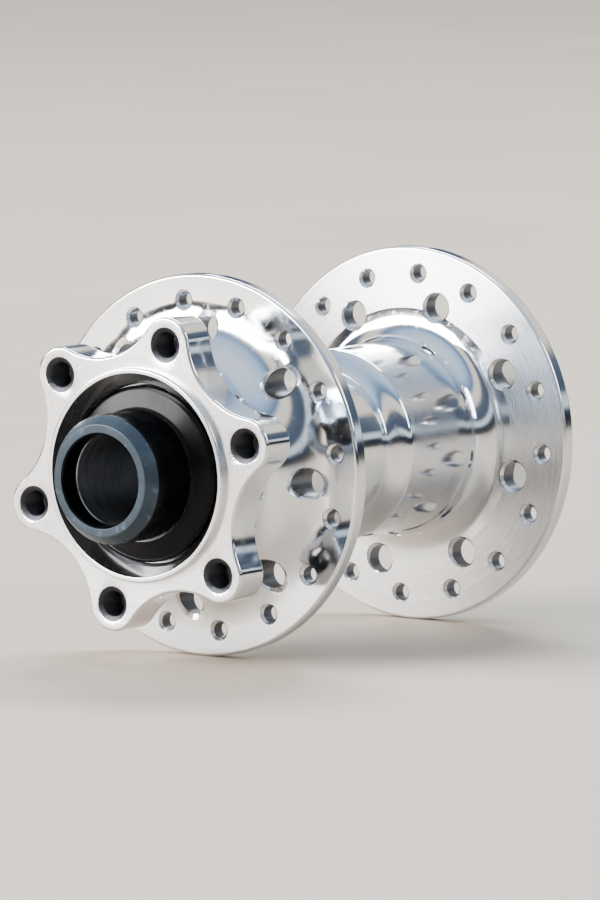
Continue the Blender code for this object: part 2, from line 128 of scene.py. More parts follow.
# Flanges.
LEFT_FLANGE_OUTER_Y = -27.4
RIGHT_FLANGE_OUTER_Y = 34.2
FLANGE_RIM_WIDTH = 2.6
FLANGE_INNER_SLOPE = 0.1
FLANGE_EDGE_ROUND = 0.5
FACED_RING_GAP = 0.8
SPOKES_PER_FLANGE = 16
SPOKE_PITCH = 360.0 / SPOKES_PER_FLANGE
SPOKE_CIRCLE_RADIUS = 27.0
SPOKE_HOLE_RADIUS = 1.3
LEFT_SPOKE_ANGLE = 7.5
LIGHTENING_CIRCLE_RADIUS = 22.2
LIGHTENING_HOLE_RADIUS = 2.3
COUNTERSINK = 0.45
DRILL_OVERRUN = 4.0

# Shell body.
NECK_RADIUS = 18.0
NECK_OVERLAP = 0.3
BELL_RADIUS = SPOKE_CIRCLE_RADIUS - NECK_RADIUS
STUB_RADIUS = 17.6
STUB_FILLET = 4.0
DRUM_RADIUS = 15.8
DRUM_FILLET = 4.5
DRUM_END_Y = 10.0
WAIST_RADIUS = 12.8
WAIST_FLARE = 3.5
SHELL_BORE_RADIUS = 10.8
SHELL_SHOULDER_RADIUS = 12.4
SHELL_SHOULDER_WIDTH = 1.2
RECESS_RADIUS = 14.8
RECESS_END_Y = 43.4
MOUTH_SLOPE = 0.78
MOUTH_ROOT_ROUND = 0.3
MOUTH_EDGE_ROUND = 0.15
BEARING_BORE_RADIUS = OUTER_RACE_RADIUS + SEAT_GAP

# Bearings.
BALL_CIRCLE_RADIUS = 11.25
GROOVE_RADIUS = 1.6
OUTER_SHOULDER_RADIUS = 12.2
INNER_SHOULDER_RADIUS = 10.3
SEAL_SEAT_RADIUS = 12.75
SEAL_LAND_RADIUS = 9.85
SEAL_SEAT_DEPTH = 0.6
INNER_RACE_BORE_RADIUS = 8.56
CAGE_INNER_RADIUS = 10.75
CAGE_OUTER_RADIUS = 11.75
CAGE_BACK = -2.35
CAGE_FRONT = 0.9
CAGE_POCKET_RADIUS = 1.65
CAGE_EDGE_ROUND = 0.07
SEAL_RIM_RADIUS = 12.62
SEAL_WEB_OUTER_RADIUS = 12.3
SEAL_WEB_INNER_RADIUS = 10.4
SEAL_LIP_RADIUS = 10.07
SEAL_HALF_THICKNESS = 0.17
SEAL_RIDGE_RADII = (11.65, 10.65)
SEAL_RIDGE_HEIGHT = 0.1
SEAL_RIDGE_HALF_TOP = 0.1
SEAL_RIDGE_HALF_FOOT = 0.2

# Axle and end caps.
AXLE_BORE_RADIUS = 7.6
AXLE_SEAT_RADIUS = 8.5
CAP_BORE_RADIUS = 7.5
CAP_TIP_RADIUS = 10.5
CAP_TIP_WALL = 3.7
CAP_TIP_CHAMFER_LENGTH = 2.0
CAP_TIP_CHAMFER_DEPTH = 1.4
CAP_BORE_CHAMFER = 0.3
CAP_FOOT_RADIUS = 9.8
CAP_FOOT_HEIGHT = 0.9
CAP_COVER_THICKNESS = 1.3
CAP_COVER_EDGE_DROP = 0.35
CAP_COVER_CREST_RISE = 0.15
CAP_COVER_CREST_INSET = 0.6
CAP_CONE_HEIGHT = 1.6
CAP_CONE_TOP_DROP = 0.6
CAP_SOCKET_RADIUS = 8.56
O_RING_MIDDLE = 47.2
O_RING_RADIUS = 9.08
O_RING_SECTION_RADIUS = 0.42
O_RING_GROOVE_RADIUS = 9.6
O_RING_GROOVE_WIDTH = 1.3

# How finely round shapes are cut.
SHELL_SEGMENTS = 240
TURNED_SEGMENTS = 128
CAGE_SEGMENTS_PER_BALL = 12
HOLE_SEGMENTS = 32
DEGREES_PER_ROUNDING_STEP = 9.0
FLARE_STEPS = 24
LOBE_ARC_STEPS = 14
LOBE_ROUND_STEPS = 5
LOBE_SWEEP_STEPS = 8
O_RING_STEPS = 24
GROOVE_STEPS = 16
BALL_SUBDIVISIONS = 4
SMOOTH_BELOW = math.radians(32.0)

# Two roundings on one edge may use up this share of it between them.
EDGE_SHARE = 0.98
# A cutter's wall is a slope, and not straight, when its radius changes by more than this.
LEAST_SLOPE = 0.01

# The place the photograph was taken from, in degrees and metres, with a long lens on the hub.
CAMERA_AZIMUTH = 35.8
CAMERA_ELEVATION = 6.4
CAMERA_DISTANCE = 1.81
CAMERA_LENS = 440.0
CAMERA_NEAR = 0.05
CAMERA_FAR = 60.0

# The floor, in metres.
FLOOR_HALF_SIZE = 9.0
FLOOR_GAP = 0.00005

# The room in reflections: height from level (0) to overhead (1), and the colour there.
SKY_STRENGTH = 0.95
SKY_BANDS = (
    (0.0, (0.16, 0.14, 0.12)),
    (0.05, (0.03, 0.04, 0.06)),
    (0.10, (0.05, 0.06, 0.09)),
    (0.13, (0.85, 0.93, 1.0)),
    (0.18, (0.85, 0.93, 1.0)),
    (0.22, (0.10, 0.13, 0.18)),
    (0.40, (0.16, 0.19, 0.25)),
    (0.47, (1.0, 0.91, 0.78)),
    (0.58, (1.0, 0.95, 0.87)),
    (0.66, (0.20, 0.30, 0.45)),
    (0.80, (0.55, 0.72, 0.95)),
    (1.0, (0.85, 0.93, 1.0)),
)

# A quarter turn of the gloss, so that turned lines spread the light across themselves.
ACROSS_THE_LINES = 0.25

# ---------------------------------------------------------------- material helpers


class Nodes:
    """A short way to add nodes to one material and join them up."""

    def __init__(self, name):
        self.material = bpy.data.materials.new(name)
        self.material.use_nodes = True
        self.tree = self.material.node_tree
        self.shader = self.tree.nodes["Principled BSDF"]

    def add(self, kind, inputs=None, **settings):
        node = self.tree.nodes.new(kind)
        for name, value in settings.items():
            setattr(node, name, value)
        for name, value in (inputs or {}).items():
            self.feed(value, node.inputs[name])
        return node

    def feed(self, value, socket):
        if isinstance(value, bpy.types.NodeSocket):
            self.tree.links.new(value, socket)
        else:
            socket.default_value = value

    def maths(self, operation, *values):
        node = self.add("ShaderNodeMath", operation=operation)
        for value, socket in zip(values, node.inputs):
            self.feed(value, socket)
        return node.outputs[0]

    def spread(self, value, low, high, new_low, new_high):
        """Map a value from one range to another."""
        node = self.add("ShaderNodeMapRange", clamp=True, inputs={
            "Value": value, "From Min": low, "From Max": high, "To Min": new_low, "To Max": new_high})
        return node.outputs["Result"]

    def noise(self, vector, scale, detail=2.0, roughness=0.5):
        node = self.add("ShaderNodeTexNoise", inputs={
            "Vector": vector, "Scale": scale, "Detail": detail, "Roughness": roughness})
        return node.outputs["Fac"]

    def blend(self, share, first, second):
        """Mix two colours, each (red, green, blue)."""
        node = self.add("ShaderNodeMix", data_type="RGBA")
        self.feed(share, node.inputs["Factor"])
        self.feed((*first, 1.0), node.inputs["A"])
        self.feed((*second, 1.0), node.inputs["B"])
        return node.outputs["Result"]

    def place(self):
        return self.add("ShaderNodeTexCoord").outputs["Object"]

    def turned_place(self, turn_share):
        """Where a point is on a turned piece: radius, place along the axle, and a little of its angle."""
        parts = self.add("ShaderNodeSeparateXYZ", inputs={"Vector": self.place()}).outputs
        across_squared = self.maths("MULTIPLY", parts["X"], parts["X"])
        up_squared = self.maths("MULTIPLY", parts["Z"], parts["Z"])
        radius = self.maths("SQRT", self.maths("ADD", across_squared, up_squared))
        # The sine and cosine of the angle keep the pattern unbroken all the way round.
        across = self.maths("MULTIPLY", self.maths("DIVIDE", parts["X"], radius), turn_share)
        upward = self.maths("MULTIPLY", self.maths("DIVIDE", parts["Z"], radius), turn_share)
        joined = self.add("ShaderNodeCombineXYZ", inputs={
            "X": self.maths("ADD", radius, across),
            "Y": self.maths("ADD", parts["Y"], upward),
            "Z": upward})
        return radius, parts["Y"], joined.outputs["Vector"]

    def bump(self, height, strength, distance, onto=None):
        node = self.add("ShaderNodeBump", inputs={
            "Height": height, "Strength": strength, "Distance": distance})
        if onto is not None:
            self.feed(onto, node.inputs["Normal"])
        return node.outputs["Normal"]

    def finish(self, colour, metallic, roughness, **sockets):
        """Feed the shader and give the material. Other sockets go by their names, with _ for a space."""
        self.feed(colour, self.shader.inputs["Base Color"])
        self.feed(metallic, self.shader.inputs["Metallic"])
        self.feed(roughness, self.shader.inputs["Roughness"])
        for name, value in sockets.items():
            self.feed(value, self.shader.inputs[name.replace("_", " ")])
        return self.material

    def finish_turned(self, colour, metallic, roughness, normal, stretch, **sockets):
        """The same for metal turned about Y, whose gloss is drawn out by this much across its lines."""
        tangent = self.add("ShaderNodeTangent", direction_type="RADIAL", axis="Y").outputs["Tangent"]
        return self.finish(colour, metallic, roughness, Normal=normal, Tangent=tangent, Anisotropic=stretch,
                           Anisotropic_Rotation=ACROSS_THE_LINES, **sockets)


def scratches(nodes, scale, turn):
    """Sparse fine scratches that lie one way: a noise drawn out along one direction."""
    mapping = nodes.add("ShaderNodeMapping", inputs={
        "Vector": nodes.place(), "Rotation": turn, "Scale": (1.0, 0.06, 1.0)})
    streaks = nodes.noise(mapping.outputs["Vector"], scale, 1.0)
    return nodes.spread(streaks, 0.66, 0.74, 0.0, 1.0)


def polished_aluminium():
    """Mirror polish over faint turning lines, with hairline scratches and handled, cloudy patches."""
    nodes = Nodes("polished_aluminium")
    lines = nodes.noise(nodes.turned_place(0.00025)[2], 3800.0, 3.0, 0.6)
    coarse_marks = scratches(nodes, 700.0, (0.3, 0.5, 0.9))
    fine_marks = scratches(nodes, 900.0, (1.1, -0.4, -0.5))
    marks = nodes.maths("ADD", coarse_marks, fine_marks)
    clouds = nodes.noise(nodes.place(), 90.0, 4.0, 0.6)
    cloud_roughness = nodes.spread(clouds, 0.35, 0.7, 0.07, 0.15)
    roughness = nodes.maths("ADD", cloud_roughness, nodes.maths("MULTIPLY", marks, 0.08))
    normal = nodes.bump(lines, 0.10, 0.00002)
    normal = nodes.bump(marks, 0.06, 0.00001, normal)
    colour = nodes.blend(clouds, (0.83, 0.85, 0.88), (0.78, 0.80, 0.83))
    return nodes.finish_turned(colour, 1.0, roughness, normal, 0.3)


def faced_aluminium():
    """A face cut on the lathe and left as cut: fine even rings that spread the light across them."""
    nodes = Nodes("faced_aluminium")
    ring_pitch = 0.00016
    radius, along, turned_vector = nodes.turned_place(0.00015)
    rings_passed = nodes.maths("MULTIPLY", nodes.maths("ADD", radius, along), math.tau / ring_pitch)
    even_rings = nodes.maths("SINE", rings_passed)
    rings = nodes.noise(turned_vector, 5200.0, 2.0, 0.7)
    height = nodes.maths("ADD", nodes.maths("MULTIPLY", even_rings, 0.35), rings)
    roughness = nodes.spread(rings, 0.3, 0.7, 0.20, 0.32)
    clouds = nodes.noise(nodes.place(), 60.0, 3.0)
    colour = nodes.blend(clouds, (0.87, 0.88, 0.90), (0.82, 0.83, 0.86))
    return nodes.finish_turned(colour, 1.0, roughness, nodes.bump(height, 0.16, 0.00002), 0.6)


def hole_wall_painted_shade(name, dark, light):
    """Walls of holes, which no polish reaches: dull and ringed by the drill. Their dark colours are painted
    shade, standing in for the shade deep inside the holes.
    """
    nodes = Nodes(name)
    along = nodes.add("ShaderNodeSeparateXYZ", inputs={"Vector": nodes.place()}).outputs["Y"]
    joined = nodes.add("ShaderNodeCombineXYZ", inputs={"X": along, "Y": along}).outputs["Vector"]
    rings = nodes.noise(joined, 6000.0, 2.0)
    painted_shade_mottle = nodes.noise(nodes.place(), 500.0, 3.0)
    roughness = nodes.spread(painted_shade_mottle, 0.3, 0.7, 0.32, 0.5)
    normal = nodes.bump(rings, 0.2, 0.00003)
    return nodes.finish(nodes.blend(painted_shade_mottle, dark, light), 1.0, roughness, Normal=normal)


def turned_metal(name, dark, light, glossy, dull, line_scale, line_strength):
    """Plain turned metal: lines round the axle, with a little wandering in tone and gloss."""
    nodes = Nodes(name)
    lines = nodes.noise(nodes.turned_place(0.0002)[2], line_scale, 3.0, 0.65)
    clouds = nodes.noise(nodes.place(), 140.0, 3.0)
    roughness = nodes.spread(lines, 0.3, 0.7, glossy, dull)
    normal = nodes.bump(lines, line_strength, 0.00002)
    return nodes.finish_turned(nodes.blend(clouds, dark, light), 1.0, roughness, normal, 0.45)


def black_anodised(name, dark, light, glossy, dull):
    """Dyed and sealed aluminium: satin, faint turning lines, and pale rubs where it is handled. Given pale
    blue-grey colours, it makes the cap's painted reflection of the sky in place of its own black.
    """
    nodes = Nodes(name)
    lines = nodes.noise(nodes.turned_place(0.00025)[2], 3200.0, 3.0, 0.6)
    clouds = nodes.noise(nodes.place(), 220.0, 4.0, 0.6)
    rubs = nodes.maths("MULTIPLY", scratches(nodes, 800.0, (0.2, 0.9, 0.4)), 0.4)
    paleness = nodes.maths("ADD", nodes.maths("MULTIPLY", clouds, 0.5), rubs)
    roughness = nodes.spread(clouds, 0.3, 0.7, glossy, dull)
    normal = nodes.bump(lines, 0.12, 0.00002)
    return nodes.finish_turned(nodes.blend(paleness, dark, light), 0.35, roughness, normal, 0.3,
                               Specular_IOR_Level=0.35)


def seal_rubber():
    """Moulded nitrile rubber: nearly black, softly mottled, with a fine grain."""
    nodes = Nodes("seal_rubber")
    grain = nodes.noise(nodes.place(), 9000.0, 2.0)
    mottle = nodes.noise(nodes.place(), 700.0, 3.0)
    colour = nodes.blend(mottle, (0.012, 0.012, 0.013), (0.030, 0.030, 0.032))
    roughness = nodes.spread(mottle, 0.3, 0.7, 0.48, 0.66)
    return nodes.finish(colour, 0.0, roughness, Normal=nodes.bump(grain, 0.25, 0.00002))


def cage_nylon():
    """Natural nylon filled with glass: cream, slightly see-through, with flow marks from the mould."""
    nodes = Nodes("cage_nylon")
    flow = nodes.noise(nodes.turned_place(0.004)[2], 900.0, 4.0, 0.6)
    colour = nodes.blend(flow, (0.46, 0.41, 0.29), (0.62, 0.57, 0.44))
    roughness = nodes.spread(flow, 0.3, 0.7, 0.38, 0.52)
    normal = nodes.bump(flow, 0.15, 0.00003)
    return nodes.finish(colour, 0.0, roughness, Normal=normal, Subsurface_Weight=0.15,
                        Subsurface_Scale=0.0006)


def ball_steel():
    """Lapped chrome steel: almost a mirror, with the faint haze that lapping leaves."""
    nodes = Nodes("ball_steel")
    haze = nodes.noise(nodes.place(), 1800.0, 4.0, 0.7)
    colour = nodes.blend(haze, (0.60, 0.61, 0.63), (0.68, 0.69, 0.71))
    roughness = nodes.spread(haze, 0.3, 0.7, 0.04, 0.09)
    return nodes.finish(colour, 1.0, roughness, Normal=nodes.bump(haze, 0.03, 0.00001))


def pale_floor():
    """A plain pale sweep with a barely seen mottle."""
    nodes = Nodes("pale_floor")
    mottle = nodes.noise(nodes.place(), 14.0, 4.0)
    colour = nodes.blend(mottle, (0.56, 0.47, 0.38), (0.61, 0.52, 0.43))
    return nodes.finish(colour, 0.0, nodes.spread(mottle, 0.3, 0.7, 0.55, 0.65))


# Each finish of the hub. The two colours are its darker and its lighter patches.
FINISHES = {
    "polished": polished_aluminium(),
    "faced": faced_aluminium(),
    # The walls of holes get dark colours as painted shade inside them, darkest in the narrow threaded holes.
    "drilled_wall_shade": hole_wall_painted_shade("hole_wall_painted_shade", dark=(0.16, 0.17, 0.19), light=(0.30, 0.31, 0.33)),
    "tapped_wall_shade": hole_wall_painted_shade("tapped_aluminium_painted_shade", dark=(0.035, 0.036, 0.042), light=(0.09, 0.092, 0.10)),
    "bored": turned_metal("bored_aluminium", dark=(0.50, 0.52, 0.55), light=(0.62, 0.64, 0.67),
                          glossy=0.22, dull=0.34, line_scale=4200.0, line_strength=0.2),
    "axle": turned_metal("turned_aluminium", dark=(0.60, 0.62, 0.65), light=(0.70, 0.72, 0.75),
                         glossy=0.24, dull=0.36, line_scale=4200.0, line_strength=0.18),
    "steel": turned_metal("ground_steel", dark=(0.46, 0.47, 0.49), light=(0.55, 0.56, 0.58),
                          glossy=0.12, dull=0.22, line_scale=7000.0, line_strength=0.08),
    "black": black_anodised("black_anodised", dark=(0.002, 0.002, 0.003), light=(0.010, 0.011, 0.014),
                            glossy=0.2, dull=0.32),
    # The cap's end face and the tip's outer chamfer get a blue-grey colour: a painted reflection of the sky
    # on the black anodising.
    "painted_sky_reflection": black_anodised("anodised_painted_sky_reflection", dark=(0.035, 0.05, 0.066), light=(0.13, 0.17, 0.215),
                             glossy=0.26, dull=0.40),
    "rubber": seal_rubber(),
    "nylon": cage_nylon(),
    "ball": ball_steel(),
}

# ---------------------------------------------------------------- mesh helpers


def corner(radius, along, rounding=0.0, finish=None):
    """One corner of a turned outline; finish names the surface that follows it."""
    return {"point": Vector((radius, along)), "rounding": rounding, "finish": finish}


def edges_at(corners, index):
    """The edges that leave a corner of a closed outline, back and ahead."""
    here = corners[index]["point"]
    return corners[index - 1]["point"] - here, corners[(index + 1) % len(corners)]["point"] - here


def rounding_reaches(corners):
    """How far each corner's rounding runs along its edges, cut back where two roundings would meet."""
    wanted = []
    for index, this in enumerate(corners):
        back, ahead = edges_at(corners, index)
        wanted.append(this["rounding"] / math.tan(back.angle(ahead) / 2))
    allowed = list(wanted)
    for index in range(len(corners)):
        after = (index + 1) % len(corners)
        length = edges_at(corners, index)[1].length
        for end in (index, after):
            if wanted[index] + wanted[after] > EDGE_SHARE * length:
                share = EDGE_SHARE * length / (wanted[index] + wanted[after])
                allowed[end] = min(allowed[end], wanted[end] * share)
    return allowed


def rounding_arc(here, back, ahead, reach):
    """Points round one corner, from this far down the edge back to this far along the edge ahead."""
    opening = back.angle(ahead)
    turn = math.pi - opening
    radius = reach * math.tan(opening / 2)
    inward = (back.normalized() + ahead.normalized()).normalized()
    pivot = here + inward * (radius / math.sin(opening / 2))
    first = here + back.normalized() * reach - pivot
    last = here + ahead.normalized() * reach - pivot
    steps = max(2, math.ceil(math.degrees(turn) / DEGREES_PER_ROUNDING_STEP))
    shares = [step / steps for step in range(steps + 1)]
    return [pivot + (first * math.sin((1 - share) * turn) + last * math.sin(share * turn)) / math.sin(turn)
            for share in shares]


def rounded(corners):
    """Round the corners of a closed outline. Gives its points and the finish after each of them."""
    points, finishes = [], []
    finish = next(c["finish"] for c in reversed(corners) if c["finish"])
    reaches = rounding_reaches(corners)
    nearly_straight = 0.01
    for index, this in enumerate(corners):
        finish = this["finish"] or finish
        here = this["point"]
        back, ahead = edges_at(corners, index)
        if this["rounding"] == 0.0 or math.pi - back.angle(ahead) < nearly_straight:
            arc = [here]
        else:
            arc = rounding_arc(here, back, ahead, reaches[index])
        points += arc
        finishes += [finish] * len(arc)
    return points, finishes


def new_object(name, data):
    piece = bpy.data.objects.new(name, data)
    bpy.context.scene.collection.objects.link(piece)
    return piece


def smooth(mesh):
    mesh.shade_smooth()
    mesh.set_sharp_from_angle(angle=SMOOTH_BELOW)


def unit_circle(segments):
    """The cosine and sine at equal steps round one turn."""
    angles = [math.tau * step / segments for step in range(segments)]
    return [(math.cos(angle), math.sin(angle)) for angle in angles]


def ring_mesh(name, rings, finish_after_ring):
    """Join equal rings of points, each (x, y, z) in millimetres, into one closed skin."""
    size = len(rings[0])
    mesh = bpy.data.meshes.new(name)
    points = [Vector(point) * MM for ring in rings for point in ring]
    faces, slots = [], []
    names = list(dict.fromkeys(finish_after_ring))
    for ring, finish in enumerate(finish_after_ring):
        start = ring * size
        after = (ring + 1) % len(rings) * size
        for step in range(size):
            turn = (step + 1) % size
            faces.append((start + step, start + turn, after + turn, after + step))
            slots.append(names.index(finish))
    mesh.from_pydata(points, [], faces)
    for finish in names:
        mesh.materials.append(FINISHES[finish])
    mesh.polygons.foreach_set("material_index", slots)
    smooth(mesh)
    return mesh


def turned(name, corners, segments=TURNED_SEGMENTS, mirrored=False):
    """A piece turned about Y from a closed outline that runs down its outer side from +Y to -Y.

    A mirrored one is turned end for end.
    """
    points, finishes = rounded(corners)
    circle = unit_circle(segments)
    rings = [[(point.x * cosine, point.y, point.x * sine) for cosine, sine in circle] for point in points]
    mesh = ring_mesh(name, rings, finishes)
    if mirrored:
        mesh.transform(Matrix.Rotation(math.pi, 4, "Z"))
    return mesh


def around(angle_degrees, radius, along):
    """A place round the axle: its angle runs from +X towards +Z."""
    angle = math.radians(angle_degrees)
    return Vector((radius * math.cos(angle), along, radius * math.sin(angle)))


def ring_angles(count, first=0.0):
    """Angles, in degrees, evenly round one turn."""
    return [first + 360.0 * number / count for number in range(count)]


def add_cutter(cutters, matrix, outline):
    """Add one turned, capped cutter: (radius, height) points turned about Z, stood in place by the matrix."""
    circle = unit_circle(HOLE_SEGMENTS)
    rings = []
    for radius, height in outline:
        points = [Vector((radius * cosine, radius * sine, height)) * MM for cosine, sine in circle]
        rings.append([cutters.verts.new(matrix @ point) for point in points])
    for number, (lower, upper) in enumerate(zip(rings, rings[1:])):
        is_slope = abs(outline[number][0] - outline[number + 1][0]) > LEAST_SLOPE
        for step in range(HOLE_SEGMENTS):
            turn = (step + 1) % HOLE_SEGMENTS
            face = cutters.faces.new((lower[step], lower[turn], upper[turn], upper[step]))
            face.material_index = int(is_slope)
    cutters.faces.new(list(reversed(rings[0])))
    cutters.faces.new(rings[-1])


def cutter_from(name, shapes, wall_finish, slope_finish):
    """One object of many cutters, from (matrix, outline) pairs. Walls and slopes have a finish each."""
    cutters = bmesh.new()
    for matrix, outline in shapes:
        add_cutter(cutters, matrix, outline)
    mesh = bpy.data.meshes.new(name)
    cutters.to_mesh(mesh)
    cutters.free()
    mesh.materials.append(FINISHES[wall_finish])
    mesh.materials.append(FINISHES[slope_finish])
    return new_object(name, mesh)


def combine(mesh, steps, name):
    """Add or cut each (helper object, operation) in turn, and give the finished mesh."""
    worked = new_object(name + "_worked", mesh)
    for helper, operation in steps:
        boolean = worked.modifiers.new(helper.name, "BOOLEAN")
        boolean.operation = operation
        boolean.solver = "EXACT"
        boolean.material_mode = "TRANSFER"
        boolean.object = helper
    bpy.context.view_layer.update()
    evaluated = worked.evaluated_get(bpy.context.evaluated_depsgraph_get())
    finished = bpy.data.meshes.new_from_object(evaluated)
    finished.name = name
    for used in [worked, *(helper for helper, _ in steps)]:
        bpy.data.objects.remove(used, do_unlink=True)
    smooth(finished)
    return finished


def show(name, mesh, node, body):
    """Put a finished piece in place of its CAD node."""
    piece = new_object(name, mesh)
    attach(piece, body)
    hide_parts(node)
    return piece


# ---------------------------------------------------------------- hub shell


def inner_flange_y(outer_y, radius):
    """The tapered inner face of a flange, thickest at its root."""
    side = math.copysign(1.0, outer_y)
    return outer_y - side * (FLANGE_RIM_WIDTH + (FLANGE_RADIUS - radius) * FLANGE_INNER_SLOPE)


def flange_to_waist(outer_y, rim_finish, root_finish):
    """Corners from a flange's rim down its inner face and drum to the waist.

    rim_finish follows the rim's corner, and root_finish follows the corner where the faced ring ends.
    """
    side = math.copysign(1.0, outer_y)
    faced_end = DRUM_RADIUS + DRUM_FILLET + FACED_RING_GAP
    corners = [
        corner(FLANGE_RADIUS, inner_flange_y(outer_y, FLANGE_RADIUS), FLANGE_EDGE_ROUND, rim_finish),
        corner(faced_end, inner_flange_y(outer_y, faced_end), 0.0, root_finish),
        corner(DRUM_RADIUS, inner_flange_y(outer_y, DRUM_RADIUS), DRUM_FILLET),
    ]
    for step in range(FLARE_STEPS + 1):
        share = step / FLARE_STEPS
        radius = DRUM_RADIUS + (WAIST_RADIUS - DRUM_RADIUS) * (1.0 - math.cos(math.pi * share)) / 2
        corners.append(corner(radius, side * (DRUM_END_Y - WAIST_FLARE * share)))
    return corners


def shell_bore_corners():
    """The bore on the +Y half, from the middle outward, each corner as (radius, place, rounding)."""
    shoulder = BEARING_MIDDLE - BEARING_HALF_WIDTH - SEAT_GAP
    recess = BEARING_MIDDLE + BEARING_HALF_WIDTH + SEAT_GAP
    relief = shoulder - SHELL_SHOULDER_WIDTH
    return [
        (SHELL_BORE_RADIUS, relief, 0.2),
        (SHELL_SHOULDER_RADIUS, relief, 0.0),
        (SHELL_SHOULDER_RADIUS, shoulder, 0.2),
        (BEARING_BORE_RADIUS, shoulder, 0.0),
        (BEARING_BORE_RADIUS, recess, 0.25),
        (RECESS_RADIUS, recess, 0.2),
    ]


def mouth_radius(end_y):
    """How wide the cone that opens outward from the recess is where it meets an end face."""
    return RECESS_RADIUS + (abs(end_y) - RECESS_END_Y) * MOUTH_SLOPE


def shell_corners():
    """The shell's outline: down its outer side from +Y to -Y, and back through its bore."""
    right = flange_to_waist(RIGHT_FLANGE_OUTER_Y, "faced", "polished")
    # This one is used from the waist up to the rim, so its two finishes change places.
    left = flange_to_waist(LEFT_FLANGE_OUTER_Y, "polished", "faced")
    bore = shell_bore_corners()
    plate_middle = ROTOR_FACE_Y + LOBE_PLATE_THICKNESS / 2
    return [
        corner(STUB_RADIUS, RIGHT_SHELL_END_Y, 0.6, "polished"),
        corner(STUB_RADIUS, RIGHT_FLANGE_OUTER_Y, STUB_FILLET),
        corner(FLANGE_RADIUS, RIGHT_FLANGE_OUTER_Y, FLANGE_EDGE_ROUND),
        *right,
        *reversed(left),
        corner(FLANGE_RADIUS, LEFT_FLANGE_OUTER_Y, FLANGE_EDGE_ROUND),
        corner(NECK_RADIUS, LEFT_FLANGE_OUTER_Y, BELL_RADIUS),
        corner(NECK_RADIUS, plate_middle),
        corner(SPIGOT_RADIUS, plate_middle, 0.0, "faced"),
        corner(SPIGOT_RADIUS, SPIGOT_END_Y, 0.4),
        corner(mouth_radius(SPIGOT_END_Y), SPIGOT_END_Y, MOUTH_EDGE_ROUND, "polished"),
        corner(RECESS_RADIUS, -RECESS_END_Y, MOUTH_ROOT_ROUND, "bored"),
        *(corner(radius, -along, rounding) for radius, along, rounding in reversed(bore)),
        *(corner(radius, along, rounding) for radius, along, rounding in bore),
        corner(RECESS_RADIUS, RECESS_END_Y, MOUTH_ROOT_ROUND, "polished"),
        corner(mouth_radius(RIGHT_SHELL_END_Y), RIGHT_SHELL_END_Y, MOUTH_EDGE_ROUND, "faced"),
    ]


def lobe_outline(inset):
    """The disc mount's outline: a lobe round each bolt and a hollow arc between them, all moved in by inset.

    The hollow's radius is the one with which its arc touches both lobes and reaches the valley's radius.
    """
    half_pitch = math.pi / LOBE_COUNT
    bolt = BOLT_CIRCLE_RADIUS
    valley = LOBE_VALLEY_RADIUS
    hollow = (valley ** 2 + bolt ** 2 - 2 * bolt * valley * math.cos(half_pitch) - LOBE_RADIUS ** 2) / (
        2 * (LOBE_RADIUS - valley + bolt * math.cos(half_pitch)))
    hollow_centre = valley + hollow
    lobe_end = math.atan2(hollow_centre * math.sin(half_pitch), hollow_centre * math.cos(half_pitch) - bolt)
    hollow_end = lobe_end - half_pitch
    points = []

    def add_point(centre_radius, centre_angle, radius, angle):
        points.append((centre_radius * math.cos(centre_angle) + radius * math.cos(angle),
                       centre_radius * math.sin(centre_angle) + radius * math.sin(angle)))

    for number in range(LOBE_COUNT):
        lobe = math.radians(LOBE_ANGLE) + 2 * half_pitch * number
        for step in range(-LOBE_ARC_STEPS, LOBE_ARC_STEPS + 1):
            add_point(bolt, lobe, LOBE_RADIUS - inset, lobe + lobe_end * step / LOBE_ARC_STEPS)
        gap = lobe + half_pitch
        for step in range(1 - LOBE_ARC_STEPS, LOBE_ARC_STEPS):
            add_point(hollow_centre, gap, hollow + inset, gap + math.pi - hollow_end * step / LOBE_ARC_STEPS)
    return points


def outline_directions():
    """The direction of each point of the disc mount's outline from the axle."""
    return [math.atan2(up, across) for across, up in lobe_outline(0.0)]


def circle_under_outline(radius):
    """A circle with one point in the direction of each point of the outline."""
    return [(radius * math.cos(angle), radius * math.sin(angle)) for angle in outline_directions()]


def between_neck_and_lobes(share):
    """An outline this share of the way from inside the neck's surface out to the edge of the mount's back."""
    root = NECK_RADIUS - NECK_OVERLAP
    radii = [root + (math.hypot(across, up) - root) * share for across, up in lobe_outline(LOBE_EDGE_ROUND)]
    return [(radius * math.cos(angle), radius * math.sin(angle))
            for radius, angle in zip(radii, outline_directions())]


def back_layers(back_y):
    """The back of the disc mount: out of the neck in a quarter of a sine wave, then flat."""
    layers = []
    for step in range(LOBE_SWEEP_STEPS + 1):
        share = step / LOBE_SWEEP_STEPS
        drop = LOBE_SWEEP_DROP * (1.0 - math.sin(math.pi / 2 * share))
        layers.append((between_neck_and_lobes(LOBE_SWEEP_SHARE * share), back_y + drop, "polished"))
    return layers


def edge_layers(back_y):
    """The rounded edges of the disc mount, first the back one and then the front one."""
    layers = []
    angles = [math.pi / 2 * step / LOBE_ROUND_STEPS for step in range(LOBE_ROUND_STEPS + 1)]
    for angle in angles:
        outline = lobe_outline(LOBE_EDGE_ROUND * (1.0 - math.sin(angle)))
        layers.append((outline, back_y - LOBE_EDGE_ROUND * (1.0 - math.cos(angle)), "polished"))
    for angle in angles:
        outline = lobe_outline(LOBE_EDGE_ROUND * (1.0 - math.cos(angle)))
        finish = "faced" if angle == angles[-1] else "polished"
        layers.append((outline, ROTOR_FACE_Y + LOBE_EDGE_ROUND * (1.0 - math.sin(angle)), finish))
    return layers


